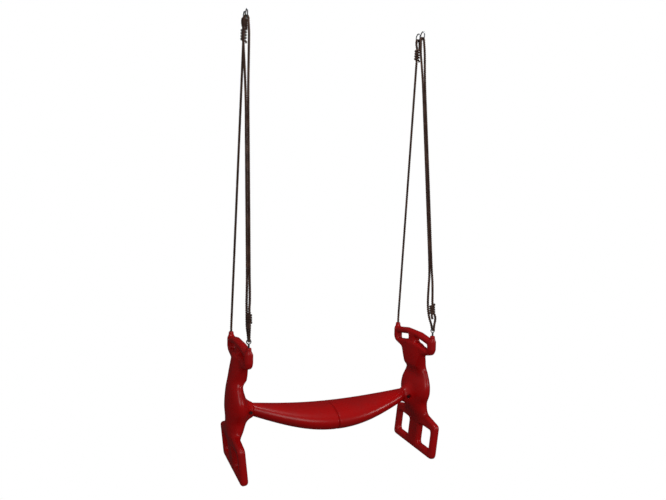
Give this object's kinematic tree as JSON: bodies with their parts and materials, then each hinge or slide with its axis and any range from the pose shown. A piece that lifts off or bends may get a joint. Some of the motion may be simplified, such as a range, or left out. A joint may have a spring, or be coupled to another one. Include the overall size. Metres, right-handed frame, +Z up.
{
  "type": "two-seat glider swing",
  "caption": "Two-seat glider swing: crescent seat beam between two end supports with T handles and foot rests, hung on ropes from wire rings.",
  "frame": {"origin": "midway between the two pairs of hanging rings, at the height where the rings bear on their hooks", "axes": "+Z up, X along the seat beam from the left support to the right one, Y across it towards the single ropes"},
  "size_m": [0.9322, 0.366, 1.8944],
  "materials": {
    "red_plastic": "glossy deep-red polyethylene",
    "brown_rope": "twisted dark-brown polypropylene rope",
    "ring_steel": "zinc-plated welded wire",
    "eye_steel": "zinc-plated steel",
    "zinc_fasteners": "zinc-plated steel",
    "spine_steel": "plain steel tube with a thin grey primer"
  },
  "bodies": {
    "left_rings": {"hanging_ring_left_far": "ring_steel", "hanging_ring_left_near": "ring_steel"},
    "left_ropes": {"rope_far_left": "brown_rope", "rope_far_left_knot": "brown_rope", "rope_far_left_eye": "brown_rope", "rope_near_left": "brown_rope", "rope_near_left_knot": "brown_rope", "rope_near_left_tail": "brown_rope"},
    "glider": {"end_support_right": "red_plastic", "end_support_left": "red_plastic", "seat_half_right": "red_plastic", "seat_half_left": "red_plastic", "seat_spine_tube": "spine_steel", "collar_bolts": "zinc_fasteners", "collar_washers": "red_plastic", "collar_nuts": "zinc_fasteners", "eye_bolt_right": "eye_steel", "eye_bolt_left": "eye_steel", "horn_washers": "zinc_fasteners", "eye_bolt_nuts": "zinc_fasteners", "rope_far_right_foot": "brown_rope", "rope_far_right_stopper": "brown_rope", "rope_far_left_foot": "brown_rope", "rope_far_left_stopper": "brown_rope"},
    "right_ropes": {"rope_far_right": "brown_rope", "rope_far_right_knot": "brown_rope", "rope_far_right_eye": "brown_rope", "rope_near_right": "brown_rope", "rope_near_right_knot": "brown_rope", "rope_near_right_tail": "brown_rope"},
    "right_rings": {"hanging_ring_right_far": "ring_steel", "hanging_ring_right_near": "ring_steel"}
  },
  "joints": [
    {"name": "swing", "type": "hinge", "parent": "left_rings", "child": "left_ropes", "pos_m": [-0.397, 0, -0.0325], "axis": [0, 1, 0], "range_deg": [-30, 30]},
    {"name": "glider_pivot", "type": "hinge", "parent": "left_ropes", "child": "glider", "pos_m": [-0.41, 0, -1.309], "axis": [0, 1, 0], "range_deg": [-30, 30]},
    {"name": "right_rope_pivot", "type": "hinge", "parent": "glider", "child": "right_ropes", "pos_m": [0.41, 0, -1.309], "axis": [0, 1, 0], "range_deg": [-30, 30]},
    {"name": "right_ring_pivot", "type": "hinge", "parent": "right_ropes", "child": "right_rings", "pos_m": [0.397, 0, -0.0325], "axis": [0, 1, 0], "range_deg": [-30, 30]}
  ],
  "couplings": [
    {"joint": "glider_pivot", "follows": "swing", "ratio": -0.9683},
    {"joint": "right_rope_pivot", "follows": "swing", "ratio": 0.9683},
    {"joint": "right_ring_pivot", "follows": "swing", "ratio": -1}
  ]
}
